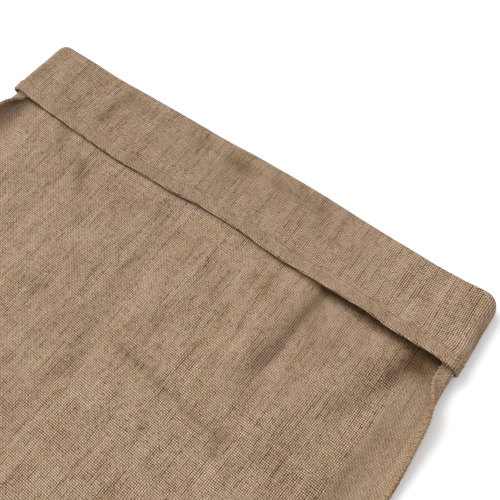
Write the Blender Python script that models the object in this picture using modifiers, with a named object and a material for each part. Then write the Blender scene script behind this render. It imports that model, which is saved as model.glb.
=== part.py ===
"""Jute sack lying empty on its back, with its mouth turned down outwards as a cuff.

Units are metres. +X runs across the sack, +Y along it towards the mouth, +Z up, and the
origin lies on the floor under the middle of the sack's outline. Two hessian panels are sewn
together along the sides and the bottom. Each panel is one sheet: it runs up the body, turns
over the rim, comes back down as its half of the cuff, and ends in a hem turned outwards.
Past each seam the two panels run on together as a lip, which stands up or folds over.

Places on the sack are given by x, across, and by d, the distance down from the mouth's
nominal rim line. The middle of the cloth's thickness is modelled and then made solid.
"""

import bisect
import math

import bmesh
import bpy
from mathutils import Vector

MM = 0.001

# Driving sizes.
CLOTH = 1.4 * MM  # thickness of the hessian
LENGTH = 957 * MM  # the sack as it lies, from the rim's furthest point to the bottom edge
HALF_BODY = 282 * MM  # from the middle to each side seam, below the cuff
HALF_BODY_AT_RIM = 276 * MM
HALF_CUFF_AT_RIM = 288 * MM  # the cuff wraps round the body, so it is wider
HALF_CUFF_AT_HEM = 291 * MM
CUFF_SHIFT = -2.5 * MM  # the cuff sits a little to the left on the body
LIP = 17 * MM  # cloth outside a seam, both layers together
HEM = 12 * MM  # turned edge round the mouth
RIM_LEAD = 2.8 * MM  # the rim's furthest point lies this far above the nominal rim line
RIM_LINE_Y = LENGTH / 2 - RIM_LEAD
BOTTOM = LENGTH - RIM_LEAD  # d of the bottom edge

# Spacing between the middles of layers.
PAIR = CLOTH + 0.9 * MM  # the panels where they are sewn together
HEM_SPACING = CLOTH + 0.8 * MM  # the cuff and its turned hem
EDGE_GAP = 0.9 * MM  # between the panels' edges at the sides of the cuff

# Heights of the middle of the cloth.
BACK_ON_FLOOR = CLOTH / 2
BACK_OVER_CUFF = 5.2 * MM  # the back panel where it lies on the back half of the cuff
FRONT_LOFT = 6.8 * MM  # the front panel above the sewn pair, on the body
FRONT_LOFT_AT_CUFF = 5.6 * MM
CUFF_TOP = 16.6 * MM  # the front half of the cuff
CUFF_SIDE = BACK_OVER_CUFF + PAIR / 2  # where the cuff's two halves meet

# How the cloth bends.
CURL = 12 * MM  # width of the rounded side of the cuff
CUFF_FLAT = 276 * MM  # cloth from the cuff's middle to the start of that curl
CUFF_ARC = 292 * MM  # cloth from the cuff's middle to its side
RIM_BEND = 2.3 * MM  # reach of the bend over the rim, down the sack
HEM_TUCK = 1.4 * MM  # the hem draws each side of the cuff in
CORNER = 8 * MM  # radius of the cuff's upper corners, seen from above
LIP_BEND = 6 * MM  # cloth in a lip's bend beside the seam
SHOULDER = 34 * MM  # width over which the front panel rises from a side seam
SHOULDER_FOOT = 14 * MM  # flat cloth beside the seam, under the folded lip
BOTTOM_SLOPE = 70 * MM

# Outlines of the cuff: distance d of the rim and of the hem across the sack, in millimetres.
RIM = (  # (x, d)
    (-287, 10.5), (-255, 11), (-204, 12), (-157, 10.2), (-111, 8.6), (-45, 7), (0, 4.2), (79, 2.4),
    (139, 3.2), (214, 2.9), (249, 1.2), (275, -2),
)
HEM_LINE = (  # (x, d)
    (-290, 87), (-275, 89.5), (-234, 92.6), (-178, 94.2), (-123, 95.3), (-90, 93.4), (-43, 90.4),
    (-13, 87), (33, 86), (65, 87.4), (124, 86.8), (180, 84.8), (222, 86.3), (260, 84.6), (290, 86.5),
)

# Turn of each seam's lip out of the flat, in degrees: 0 lies flat outwards, 172 folds over the front.
LIP_TURN = {  # hand: ((d, turn), ...), d in millimetres
    1: (
        (0, 172), (97, 172), (104, 162), (112, 139), (121, 109), (132, 85), (144, 68), (168, 52),
        (203, 28), (250, 0),
    ),
    -1: ((0, 172), (93, 172), (104, 136), (118, 106), (150, 84), (200, 56), (250, 22), (300, 0)),
}

# Folds of the front panel below the cuff. Each is a ridge or trough along a line, in millimetres.
# from_x, from_d, to_x, to_d, reach_left, reach_right, end_reach, rise
BODY_FOLDS = (
    (147, 60, 138, 190, 7, 62, 11, -5.4),  # deep lengthwise crease, its left side steep
    (152, 215, 150, 290, 10, 9, 16, -1.6),  # its shallow continuation
    (137, 240, 139, 900, 9, 7, 20, -1.0),
    (-13, 70, -13, 900, 8, 8, 20, -0.9),  # middle lengthwise crease
    (-166, 100, -164, 900, 8, 8, 20, -1.0),  # left lengthwise crease
    (-280, 262, 280, 262, 6, 6, 12, -1.1),  # crosswise creases at the thirds of the cloth
    (-280, 612, 280, 612, 6, 6, 12, -1.1),
    (-275, 98, 10, 94, 8, 8, 8, -0.7),  # sunken line along the cuff's edge, deeper at the right
    (10, 92, 275, 92, 9, 9, 14, -1.5),
    (236, 60, 238, 240, 56, 40, 40, -2.4),  # sunken part under the raised end of the cuff
    (250, 108, 222, 180, 11, 24, 18, -2.8),  # curved trough running down from the pocket
    (222, 180, 224, 212, 12, 22, 20, -1.4),
    (259, 84, 260, 110, 15, 18, 12, -6.5),  # pocket at the cuff's right end
    (230, 92, 228, 112, 16, 10, 14, 2.0),  # and the swelling beside it
    (-42, 105, -28, 240, 17, 20, 30, -1.0),  # shallow troughs below the cuff
    (-150, 108, -133, 150, 9, 12, 12, -1.0),
    (-198, 92, -182, 128, 9, 12, 14, -0.9),
    (-8, 262, -10, 310, 8, 10, 14, -0.9),
    (122, 92, 114, 200, 24, 11, 26, 2.2),  # full places between the creases
    (-85, 130, -100, 240, 34, 30, 45, 1.0),
    (-222, 150, -232, 230, 26, 24, 40, 0.9),
    (60, 330, 40, 470, 32, 40, 60, 1.3),
    (205, 340, 215, 500, 26, 30, 60, 1.2),
    (-95, 360, -80, 520, 34, 30, 60, 0.9),
    (-220, 390, -228, 560, 26, 24, 60, 1.1),
    (70, 690, 60, 820, 36, 34, 50, 1.1),
    (-92, 680, -100, 800, 34, 34, 50, 1.3),
    (208, 670, 214, 790, 28, 26, 50, 0.9),
    (-222, 700, -225, 800, 26, 26, 50, 0.8),
)

# Folds of the front half of the cuff, given as those of the body.
CUFF_FOLDS = (
    (-300, 96, 130, 98, 50, 30, 40, -0.7),  # the edge settles on the body
    (170, 94, 180, 94, 30, 26, 24, 0.9),  # and stands off it at the right
    (245, 92, 262, 90, 26, 26, 30, 2.2),
    (147, 18, 139, 92, 6, 6, 10, -0.8),
    (-13, 22, -13, 92, 8, 8, 10, -0.6),
    (-166, 28, -168, 92, 8, 8, 10, -0.7),
    (70, 50, 72, 52, 40, 36, 30, 0.6),
    (-90, 45, -92, 50, 44, 40, 30, 0.5),
)

# Where the sheets are divided, in millimetres: inner columns by x, shoulder columns by distance
# in from the seam and lip columns by distance out from it, body rows by d. Both panels share the
# rows along which their lips turn.
SHOULDER_COLUMNS = (34, 21, 14, 10, 6.5, 3, 0)
FRONT_INNER_COLUMNS = (
    -228, -205, -180, -172, -166, -160, -145, -120, -95, -70, -45, -22, -13, -4, 14, 36, 60, 84,
    102, 115, 124, 130, 135, 140, 146, 155, 170, 190, 208, 222, 235,
)
BACK_INNER_COLUMNS = (-200, -150, -100, -50, 0, 50, 100, 150, 200)
LIP_COLUMNS = (2, 4, 6)  # and one at the lip's edge
TURNING_ROWS = (
    14, 34, 58, 76, 86, 92, 97, 101, 105, 109, 114, 121, 131, 143, 155, 168, 185, 205, 230, 253,
)
FRONT_LOWER_ROWS = (
    262, 271, 300, 345, 395, 450, 510, 570, 603, 612, 621, 670, 730, 790, 845, 880, 905,
)
BACK_LOWER_ROWS = (271, 300, 400, 500, 600, 700, 800, 880)
CUFF_ROWS = (0.0, 0.14, 0.38, 0.62, 0.86, 1.0)  # shares of the way from the rim to the hem
RIM_STEPS = 5
HEM_STEPS = 3
LIP_STARTS = 10 * MM  # body rows nearer the rim than this have no lips
RIM_FOLLOWED = 120 * MM  # body rows this near the rim follow its line

JUTE_COLOUR = (0.36, 0.245, 0.155, 1.0)
JUTE_ROUGHNESS = 0.92
FRONT, BACK = 1, -1


def ease(share):
    """Smooth step from 0 to 1 as share goes from 0 to 1."""
    share = min(1.0, max(0.0, share))
    return share * share * (3 - 2 * share)


def read_table(rows, at):
    """Value at `at` of a table of (place, value) rows, on a smooth curve through the rows."""
    last = len(rows) - 1
    at = min(rows[last][0], max(rows[0][0], at))
    after = min(last, bisect.bisect_right([place for place, _ in rows], at))
    rises = [(high[1] - low[1]) / (high[0] - low[0]) for low, high in zip(rows, rows[1:])]

    def slope(row):
        # Flat at the ends and wherever the values turn, so that the curve never overshoots.
        before, beyond = rises[max(0, row - 1)], rises[min(last - 1, row)]
        turns = row in (0, last) or before * beyond <= 0
        return 0.0 if turns else 2 * before * beyond / (before + beyond)

    (low, first), (high, second) = rows[after - 1], rows[after]
    span = high - low
    share = (at - low) / span
    leave = slope(after - 1) * span * share * (1 - share) ** 2
    arrive = slope(after) * span * (share - 1) * share**2
    return first + (second - first) * ease(share) + leave + arrive


def folds_rise(folds, x, d):
    """Sum of the ridges and troughs of a fold table at a point, in metres."""
    total = 0.0
    for from_x, from_d, to_x, to_d, reach_left, reach_right, end_reach, rise in folds:
        start = Vector((from_x, from_d))
        line = Vector((to_x, to_d)) - start
        offset = Vector((x / MM, d / MM)) - start
        along = offset.dot(line) / line.length
        across = offset.cross(line) / line.length
        beyond = max(-along, along - line.length, 0.0)
        reach = reach_right if across > 0 else reach_left
        total += rise * math.exp(-((across / reach) ** 2) - (beyond / end_reach) ** 2)
    return total * MM


def back_level(d):
    """Middle of the back panel: on the floor, and raised where the cuff lies under it."""
    return BACK_ON_FLOOR + (BACK_OVER_CUFF - BACK_ON_FLOOR) * ease((175 * MM - d) / (75 * MM))


def half_body(d):
    """From the middle to the side seams."""
    return HALF_BODY_AT_RIM + (HALF_BODY - HALF_BODY_AT_RIM) * ease(d / (95 * MM))


def front_rise(x, d):
    """Height of the front panel above the sewn pair."""
    from_side = HALF_BODY - abs(x) - SHOULDER_FOOT
    shoulder = ease(from_side / SHOULDER)
    toe = ease((BOTTOM - LIP - d) / BOTTOM_SLOPE)
    loft = FRONT_LOFT + (FRONT_LOFT_AT_CUFF - FRONT_LOFT) * ease((200 * MM - d) / (90 * MM))
    return max(0.0, loft + folds_rise(BODY_FOLDS, x, d)) * shoulder * toe


def body_point(side, x, d):
    """Middle of a panel between the side seams, x being its place in the cloth."""
    z = back_level(d)
    if side == FRONT:
        z += PAIR + front_rise(x, d)
    return Vector((x * half_body(d) / HALF_BODY, RIM_LINE_Y - d, z))


def lip_point(side, hand, s, d):
    """Middle of a panel in the lip, s beyond the seam. The lip leaves it flat and bends up."""
    turn = math.radians(max(0.05, read_table(LIP_TURN[hand], d / MM)))
    bend = min(s, LIP_BEND) / LIP_BEND * turn
    radius = LIP_BEND / turn
    straight = max(0.0, s - LIP_BEND)
    out = radius * math.sin(bend) + straight * math.cos(bend)
    up = radius * (1 - math.cos(bend)) + straight * math.sin(bend)
    out -= side * PAIR / 2 * math.sin(bend)
    up += PAIR / 2 + side * PAIR / 2 * math.cos(bend)
    return Vector((hand * (half_body(d) + out), RIM_LINE_Y - d, back_level(d) + up))


def cuff_x(x):
    """Place across the cuff that the cloth at body place x wraps to, flat parts only."""
    return math.copysign(min(abs(x) * CUFF_ARC / HALF_BODY, CUFF_FLAT), x)


def curl_turn(x):
    """Turn of the cuff's surface at cloth place x: 0 on the flat, a quarter turn at its side."""
    arc = abs(x) * CUFF_ARC / HALF_BODY
    return math.pi / 2 * max(0.0, (arc - CUFF_FLAT) / (CUFF_ARC - CUFF_FLAT))


def rim_d(x):
    """d of the fold over the rim at cloth place x, with the rounded corners."""
    out = min(HALF_CUFF_AT_RIM, abs(cuff_x(x)) + CURL * math.sin(curl_turn(x)))
    into_corner = min(CORNER, max(0.0, out - (HALF_CUFF_AT_RIM - CORNER)))
    recede = CORNER - math.sqrt(CORNER**2 - into_corner**2)
    return read_table(RIM, cuff_x(x) / MM) * MM + recede


def hem_d(x):
    """d of the cuff's lower edge at cloth place x."""
    return read_table(HEM_LINE, cuff_x(x) / MM) * MM


def cuff_frame(side, x, share):
    """(middle, outward normal) of the cuff at cloth place x, share of the way from rim to hem."""
    d = rim_d(x) + (hem_d(x) - rim_d(x)) * share
    half = HALF_CUFF_AT_RIM + (HALF_CUFF_AT_HEM - HALF_CUFF_AT_RIM) * ease(share)
    half -= HEM_TUCK * ease((share - 0.76) / 0.1)
    turn = curl_turn(x)
    flat_x = cuff_x(x)
    if side == FRONT:
        level = CUFF_TOP + folds_rise(CUFF_FOLDS, flat_x, d)
    else:
        level = BACK_ON_FLOOR + HEM_SPACING * ease((share - 0.2) / 0.6)
    # Near the rim the two edges stay one above the other, as the sewn pair does.
    edge_gap = EDGE_GAP + (PAIR - EDGE_GAP) * ease(1 - share / 0.3)
    edge = CUFF_SIDE + side * edge_gap / 2
    drop = abs(level - edge)
    place = Vector(
        (
            CUFF_SHIFT + flat_x * (half - CURL) / CUFF_FLAT + math.copysign(CURL, x) * math.sin(turn),
            RIM_LINE_Y - d,
            edge + side * drop * math.cos(turn),
        )
    )
    out = Vector((math.copysign(math.sin(turn) / CURL, x), 0, side * math.cos(turn) / drop))
    return place, out.normalized()


def rim_point(side, x, turn):
    """The fold over the rim: turn 0 ends the body, and pi starts the cuff."""
    body = body_point(side, x, rim_d(x))
    cuff, _ = cuff_frame(side, x, 0.0)
    half = (body - cuff) / 2
    fall = Vector((0, RIM_BEND * (math.sin(turn) - 1), 0))
    return (body + cuff) / 2 + half * math.cos(turn) + fall


def hem_point(side, x, turn, back):
    """The hem: it turns outwards round the cuff's edge, then runs `back` towards the rim."""
    length = hem_d(x) - rim_d(x)
    place, out = cuff_frame(side, x, 1 - back / length)
    place += out * HEM_SPACING / 2 * (1 - math.cos(turn))
    place.y -= HEM_SPACING / 2 * math.sin(turn)
    return place


def column_places(inner):
    """Every column as (hand, place): hand 0 is cloth between the seams, +-1 a lip."""
    shoulder = [HALF_BODY - inward * MM for inward in SHOULDER_COLUMNS]
    middle = [x * MM for x in inner]
    between = [(0, x) for x in (*(-x for x in reversed(shoulder)), *middle, *shoulder)]
    lips = [*(s * MM for s in LIP_COLUMNS), LIP]
    return [(-1, s) for s in reversed(lips)] + between + [(1, s) for s in lips]


def row_places(lower):
    """Every row from the bottom edge to the end of the hem, as (kind, value)."""
    seam = BOTTOM - LIP
    body = [BOTTOM, BOTTOM - LIP / 2, seam, seam - 8 * MM]
    body += [d * MM for d in (*reversed(lower), *reversed(TURNING_ROWS))]
    rows = [("body", d) for d in body]
    rows += [("rim", math.pi * step / RIM_STEPS) for step in range(RIM_STEPS + 1)]
    rows += [("cuff", share) for share in CUFF_ROWS[1:]]
    rows += [("hem", math.pi * step / HEM_STEPS) for step in range(1, HEM_STEPS + 1)]
    rows += [("hem back", HEM / 2), ("hem back", HEM)]
    return rows


def sheet_point(side, column, row):
    """Middle of the cloth at one crossing of a column and a row."""
    hand, place = column
    kind, value = row
    x = hand * HALF_BODY or place
    if kind == "body":
        # Rows near the rim follow its line, and even out into straight rows further down.
        d = value + (rim_d(x) + RIM_BEND) * ease(1 - value / RIM_FOLLOWED)
        return lip_point(side, hand, place, d) if hand else body_point(side, x, d)
    if kind == "rim":
        return rim_point(side, x, value)
    if kind == "cuff":
        return cuff_frame(side, x, value)[0]
    if kind == "hem":
        return hem_point(side, x, value, 0.0)
    return hem_point(side, x, math.pi, value)


def has_lip(row):
    return row[0] == "body" and row[1] > LIP_STARTS


def panel(name, side, inner_columns, lower_rows, material, collection):
    """One panel: a flat grid carried onto the cloth's folded form, then made solid."""
    columns = column_places(inner_columns)
    rows = row_places(lower_rows)
    cloth = bmesh.new()
    bmesh.ops.create_grid(cloth, x_segments=len(columns) - 1, y_segments=len(rows) - 1, size=1.0)
    spare = []
    for vertex in cloth.verts:
        column = columns[round((vertex.co.x + 1) / 2 * (len(columns) - 1))]
        row = rows[round((vertex.co.y + 1) / 2 * (len(rows) - 1))]
        vertex.co = sheet_point(side, column, row)
        if column[0] and not has_lip(row):
            spare.append(vertex)
    bmesh.ops.delete(cloth, geom=spare, context="VERTS")
    if side == BACK:
        bmesh.ops.reverse_faces(cloth, faces=cloth.faces)
    mesh = bpy.data.meshes.new(name)
    cloth.to_mesh(mesh)
    cloth.free()
    mesh.materials.append(material)
    mesh.shade_smooth()
    made = bpy.data.objects.new(name, mesh)
    collection.objects.link(made)
    solid = made.modifiers.new("Cloth thickness", "SOLIDIFY")
    solid.thickness = CLOTH
    solid.offset = 0.0
    solid.use_even_offset = True
    solid.use_quality_normals = True
    return made


def jute():
    material = bpy.data.materials.new("jute")
    material.use_nodes = True
    shader = material.node_tree.nodes["Principled BSDF"]
    shader.inputs["Base Color"].default_value = JUTE_COLOUR
    shader.inputs["Roughness"].default_value = JUTE_ROUGHNESS
    shader.inputs["Metallic"].default_value = 0.0
    material.diffuse_color = JUTE_COLOUR
    return material


def main():
    for old in list(bpy.data.objects):
        bpy.data.objects.remove(old)
    sack = bpy.data.collections.new("jute sack")
    bpy.context.scene.collection.children.link(sack)
    material = jute()
    panel("front_panel", FRONT, FRONT_INNER_COLUMNS, FRONT_LOWER_ROWS, material, sack)
    panel("back_panel", BACK, BACK_INNER_COLUMNS, BACK_LOWER_ROWS, material, sack)


main()
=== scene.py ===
"""Looks of the jute sack that part.py builds: two woven panels and the thread that sews them.

Units are metres unless a table or a name says millimetres. The two panels repeat the shapes of
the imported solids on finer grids, with small unevenness added and the layers drawn together where
the seams are stitched. The cuff's corners are rounder than the solids' and its hem is flatter,
and three folds near its lower edge differ a little. A woven jute material is laid out along the
cloth itself. Places on the sack are given by x, across, and by d, the distance down from the
mouth's nominal rim line. s is the distance out from a side seam, in the lip of cloth outside it.
"""

import bisect
import math
import random

import bmesh
import bpy
from mathutils import Matrix, Vector, noise


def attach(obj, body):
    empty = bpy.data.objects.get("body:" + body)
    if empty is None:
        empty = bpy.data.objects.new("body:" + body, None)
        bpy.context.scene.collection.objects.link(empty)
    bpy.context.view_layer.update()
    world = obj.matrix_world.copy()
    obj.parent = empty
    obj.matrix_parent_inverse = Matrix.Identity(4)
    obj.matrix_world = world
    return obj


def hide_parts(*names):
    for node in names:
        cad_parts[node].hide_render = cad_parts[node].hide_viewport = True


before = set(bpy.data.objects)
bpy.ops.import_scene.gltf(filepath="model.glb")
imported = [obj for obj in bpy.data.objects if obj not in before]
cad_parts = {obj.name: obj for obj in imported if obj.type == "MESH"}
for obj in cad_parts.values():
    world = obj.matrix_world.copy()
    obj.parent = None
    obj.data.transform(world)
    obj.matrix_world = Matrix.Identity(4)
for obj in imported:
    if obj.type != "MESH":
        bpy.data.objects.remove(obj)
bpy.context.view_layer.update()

MM = 0.001
FRONT, BACK = 1, -1  # the side of the sack that a panel is on
LEFT, RIGHT = -1, 1  # the hand that a lip is on

# ---------------------------------------------------------------- the sack's shape

CLOTH = 1.4 * MM  # thickness of the hessian
LENGTH = 957 * MM  # the sack as it lies, from the rim's furthest point to the bottom edge
HALF_BODY = 282 * MM  # from the middle to each side seam, below the cuff
HALF_BODY_AT_RIM = 276 * MM
HALF_CUFF_AT_RIM = 288 * MM  # the cuff wraps round the body, so it is wider
HALF_CUFF_AT_HEM = 291 * MM
CUFF_SHIFT = -2.5 * MM  # the cuff sits a little to the left on the body
LIP = 17 * MM  # cloth outside a seam, both layers together
HEM = 12 * MM  # turned edge round the mouth
RIM_LEAD = 2.8 * MM  # the rim's furthest point lies this far above the nominal rim line
RIM_LINE_Y = LENGTH / 2 - RIM_LEAD
BOTTOM = LENGTH - RIM_LEAD  # d of the bottom edge

# Spacing between the middles of layers.
PAIR = CLOTH + 0.9 * MM  # the panels where they are sewn together
STITCHED_PAIR = CLOTH + 0.1 * MM  # the outer part of a lip, drawn together by the stitches
HEM_SPACING = CLOTH + 0.2 * MM  # the cuff and its turned hem
EDGE_GAP = 0.9 * MM  # between the panels' edges at the sides of the cuff

# Heights of the middle of the cloth.
BACK_ON_FLOOR = CLOTH / 2
BACK_OVER_CUFF = 5.2 * MM  # the back panel where it lies on the back half of the cuff
FRONT_LOFT = 6.8 * MM  # the front panel above the sewn pair, on the body
FRONT_LOFT_AT_CUFF = 5.6 * MM
CUFF_TOP = 16.6 * MM  # the front half of the cuff
CUFF_SIDE = BACK_OVER_CUFF + PAIR / 2  # where the cuff's two halves meet

# How the cloth bends.
CURL = 12 * MM  # width of the rounded side of the cuff
CUFF_FLAT = 276 * MM  # cloth from the cuff's middle to the start of that curl
CUFF_ARC = 292 * MM  # cloth from the cuff's middle to its side
RIM_BEND = 2.3 * MM  # reach of the bend over the rim, down the sack
HEM_TUCK = 1.4 * MM  # the hem draws each side of the cuff in
CORNER = 15 * MM  # radius of the cuff's upper corners, seen from above
LIP_BEND = 6 * MM  # cloth in a lip's bend beside the seam
LEAST_TURN = 0.05  # of a lip, in degrees, as its bend always has a radius
DRAWN_FROM, DRAWN_OVER = 7 * MM, 7 * MM  # s where the layers start to draw together, and width
SHOULDER = 34 * MM  # width over which the front panel rises from a side seam
SHOULDER_FOOT = 14 * MM  # flat cloth beside the seam, under the folded lip
BOTTOM_SLOPE = 70 * MM

# Where a change starts and the length that it takes, by d and going towards the rim.
BACK_RISES_AT, BACK_RISES_OVER = 175 * MM, 75 * MM
LOFT_CHANGES_AT, LOFT_CHANGES_OVER = 200 * MM, 90 * MM
BODY_NARROWS_AT = 95 * MM  # as far as the rim line

# The same on the cuff, by share of the way from the rim to the hem.
TUCK_AT, TUCK_OVER = 0.76, 0.1
BACK_HEM_AT, BACK_HEM_OVER = 0.2, 0.6  # the back half rises off the floor for its hem
EDGES_PART = 0.3  # by here the spacing of the cuff's edges has gone from PAIR to EDGE_GAP

# Outlines of the cuff: distance d of the rim and of the hem across the sack, in millimetres.
RIM = (  # (x, d)
    (-287, 10.5), (-255, 11), (-204, 12), (-157, 10.2), (-111, 8.6), (-45, 7), (0, 4.2), (79, 2.4),
    (139, 3.2), (214, 2.9), (249, 1.2), (275, -2),
)
HEM_LINE = (  # (x, d)
    (-290, 87), (-275, 89.5), (-234, 92.6), (-178, 94.2), (-123, 95.3), (-90, 93.4), (-43, 90.4),
    (-13, 87), (33, 86), (65, 87.4), (124, 86.8), (180, 84.8), (222, 86.3), (260, 84.6), (290, 86.5),
)

# Turn of each seam's lip out of the flat, in degrees: 0 lies flat outwards, 172 folds over the front.
LIP_TURN = {  # hand: ((d, turn), ...), d in millimetres
    RIGHT: (
        (0, 172), (97, 172), (104, 162), (112, 139), (121, 109), (132, 85), (144, 68), (168, 52),
        (203, 28), (250, 0),
    ),
    LEFT: ((0, 172), (93, 172), (104, 136), (118, 106), (150, 84), (200, 56), (250, 22), (300, 0)),
}

# Folds of the front panel below the cuff. Each is a ridge or trough along a line, in millimetres.
# from_x, from_d, to_x, to_d, reach_left, reach_right, end_reach, rise
BODY_FOLDS = (
    (147, 60, 138, 190, 7, 62, 11, -5.4),  # deep lengthwise crease, its left side steep
    (152, 215, 150, 290, 10, 9, 16, -1.6),  # its shallow continuation
    (137, 240, 139, 900, 9, 7, 20, -1.0),
    (-13, 70, -13, 900, 8, 8, 20, -0.9),  # middle lengthwise crease
    (-166, 100, -164, 900, 8, 8, 20, -1.0),  # left lengthwise crease
    (-280, 262, 280, 262, 6, 6, 12, -1.1),  # crosswise creases at the thirds of the cloth
    (-280, 612, 280, 612, 6, 6, 12, -1.1),
    (-275, 98, 10, 94, 8, 8, 8, -0.2),  # sunken line along the cuff's edge, deeper at the right
    (70, 92, 275, 92, 9, 9, 40, -1.5),
    (236, 60, 238, 240, 56, 40, 40, -2.4),  # sunken part under the raised end of the cuff
    (250, 108, 222, 180, 11, 24, 18, -2.8),  # curved trough running down from the pocket
    (222, 180, 224, 212, 12, 22, 20, -1.4),
    (259, 84, 260, 110, 15, 18, 12, -6.5),  # pocket at the cuff's right end
    (230, 92, 228, 112, 16, 10, 14, 2.0),  # and the swelling beside it
    (-42, 105, -28, 240, 17, 20, 30, -1.0),  # shallow troughs below the cuff
    (-150, 108, -133, 150, 9, 12, 12, -1.0),
    (-198, 92, -182, 128, 9, 12, 14, -0.9),
    (-8, 262, -10, 310, 8, 10, 14, -0.9),
    (122, 92, 114, 200, 24, 11, 26, 2.2),  # full places between the creases
    (-85, 130, -100, 240, 34, 30, 45, 1.0),
    (-222, 150, -232, 230, 26, 24, 40, 0.9),
    (60, 330, 40, 470, 32, 40, 60, 1.3),
    (205, 340, 215, 500, 26, 30, 60, 1.2),
    (-95, 360, -80, 520, 34, 30, 60, 0.9),
    (-220, 390, -228, 560, 26, 24, 60, 1.1),
    (70, 690, 60, 820, 36, 34, 50, 1.1),
    (-92, 680, -100, 800, 34, 34, 50, 1.3),
    (208, 670, 214, 790, 28, 26, 50, 0.9),
    (-222, 700, -225, 800, 26, 26, 50, 0.8),
)

# Folds of the front half of the cuff, given as those of the body.
CUFF_FOLDS = (
    (-300, 96, 110, 98, 50, 30, 40, -1.7),  # the edge settles on the body
    (170, 94, 180, 94, 30, 26, 24, 0.9),  # and stands off it at the right
    (245, 92, 262, 90, 26, 26, 30, 2.2),
    (147, 18, 139, 92, 6, 6, 10, -0.8),  # the lengthwise creases go on over the cuff
    (-13, 22, -13, 92, 8, 8, 10, -0.6),
    (-166, 28, -168, 92, 8, 8, 10, -0.7),
    (70, 50, 72, 52, 40, 36, 30, 0.6),  # full places between them
    (-90, 45, -92, 50, 44, 40, 30, 0.5),
)

# Small unevenness of the cloth, broad and fine, read from noise. The body and the cuff each read
# it at a height of their own in the noise, and the fine one a shift further up.
UNEVENNESS = (  # rise, length of a wave across and down the sack, shift
    (0.45 * MM, 30 * MM, 105 * MM, 0),
    (0.22 * MM, 11 * MM, 21 * MM, 9),
)
BODY_NOISE, CUFF_NOISE = 3.7, 21.3
CUFF_SHARE = 0.7  # the cuff is that much as uneven as the body
EDGE_WANDER = 0.6 * MM  # of the cuff's lower edge
EDGE_WAVE = 19 * MM
EDGE_NOISE = (5.1, 2.2)

# The panels' grids, in millimetres. A stop is a place and the spacing from there to the next stop.
FRONT_SPACING, FRONT_ROW_SPACING = 4.2, 4.6  # between the seams, and down the body
BACK_SPACING, BACK_ROW_SPACING = 9.0, 12.0
SEAM_STRIP, SEAM_SPACING = 22, 2.0  # closer columns beside a seam
LIP_STOPS = ((0, 1.0), (6, 2.2), (LIP / MM, 0))
UPPER_ROW_STOPS = ((12, 3.0), (88, 2.0), (125, 3.0))  # closest along the foot of the cuff
EVEN_ROWS_FROM = 210
BOTTOM_STRIP, BOTTOM_ROW_SPACING = 40, 4.0
RIM_STEPS, CUFF_STEPS, HEM_STEPS, HEM_BACK_STEPS = 10, 26, 8, 5
LIP_STARTS = 10 * MM  # body rows nearer the rim than this have no lips
RIM_FOLLOWED = 120 * MM  # body rows this near the rim follow its line

# ---------------------------------------------------------------- maps, soiling, painted shade and closeness

CLOTH_MAP, BAKE_MAP = "cloth", "OFBake"  # each point's place on the flat cloth, and for baking
STAIN_AND_SHADE, CLOSE = "stain_and_shade", "close"  # how far soiling and painted shade darken, and how closely woven the cloth is, at each point
CLOTH_WIDTH = 2 * (HALF_BODY + LIP)
MAP_LENGTH = 1.07  # a little over a panel's length, so that its map stays inside the unit square
TURNED_OUT = BOTTOM - 65 * MM  # past this length from the bottom edge, the cloth shows its inside
SEEN_PART, UNSEEN_PART = (0.01, 0.9), (0.93, 0.06)  # start and width of either in BAKE_MAP
MAP_MARGIN, MAP_HEIGHT = 0.005, 0.99

# Darker spots of the front panel: soiling on the cuff, and on the body mostly painted shade in its
# creases, troughs and pocket, with two specks. Each is a soft spot along a line, in millimetres.
# from_x, from_d, to_x, to_d, reach, strength
CUFF_STAINS = (
    (-27, 24, -5, 24, 9, 0.38),
    (-171, 24, -176, 66, 7, 0.28),
    (30, 18, 90, 22, 8, 0.16),
    (-52, 22, -72, 26, 6, 0.18),
    (-119, 30, -164, 25, 8, 0.16),
    (-240, 40, 40, 36, 60, 0.08),
)
BODY_SHADE_AND_STAINS = (
    (15, 254, 145, 268, 2.5, 0.34),  # painted shade along the upper crosswise crease, and in two hollows next to it
    (-9, 270, -14, 306, 4, 0.26),
    (147, 262, 151, 278, 9, 0.32),
    (-158, 122, -140, 145, 7, 0.40),  # painted shade in the troughs below the cuff
    (-204, 100, -188, 124, 8, 0.28),
    (-46, 108, -36, 180, 7, 0.14),
    (-30, 170, -30, 250, 7, 0.12),
    (249, 97, 260, 101, 11, 0.66),  # painted shade in the pocket, and around the trough running down from it
    (248, 100, 240, 122, 9, 0.36),
    (246, 112, 222, 176, 9, 0.22),
    (205, 150, 215, 270, 42, 0.08),
    (140, 92, 131, 196, 6.5, 0.32),  # painted shade in the deep lengthwise crease
    (76, 286, 77, 288, 1.6, 0.9),  # two specks
    (84, 303, 85, 305, 1.6, 0.8),
)
CUFF_EDGE_SHADE = 0.85  # strength of the painted shadow along the foot of the cuff, on the body and where the hem turns
EDGE_REACH = 1.5  # how far down the body it reaches at the left, in millimetres
EDGE_REACH_ADDED = 5.3  # and what it gains towards the right
EDGE_WIDENS_FROM, EDGE_WIDENS_OVER = 40, 130  # x from which it widens, and over what width
# the most that soiling and painted shade together darken the cloth
MOST_STAIN_AND_SHADE = 0.85

SELVEDGE = 247 * MM  # where the closer edge of the weave starts, from the middle
SELVEDGE_BLEND = 8 * MM
HEM_CLOSENESS = 0.8

# ---------------------------------------------------------------- the weave

THREAD = 2.0 * MM  # spacing of the threads, both ways

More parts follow.
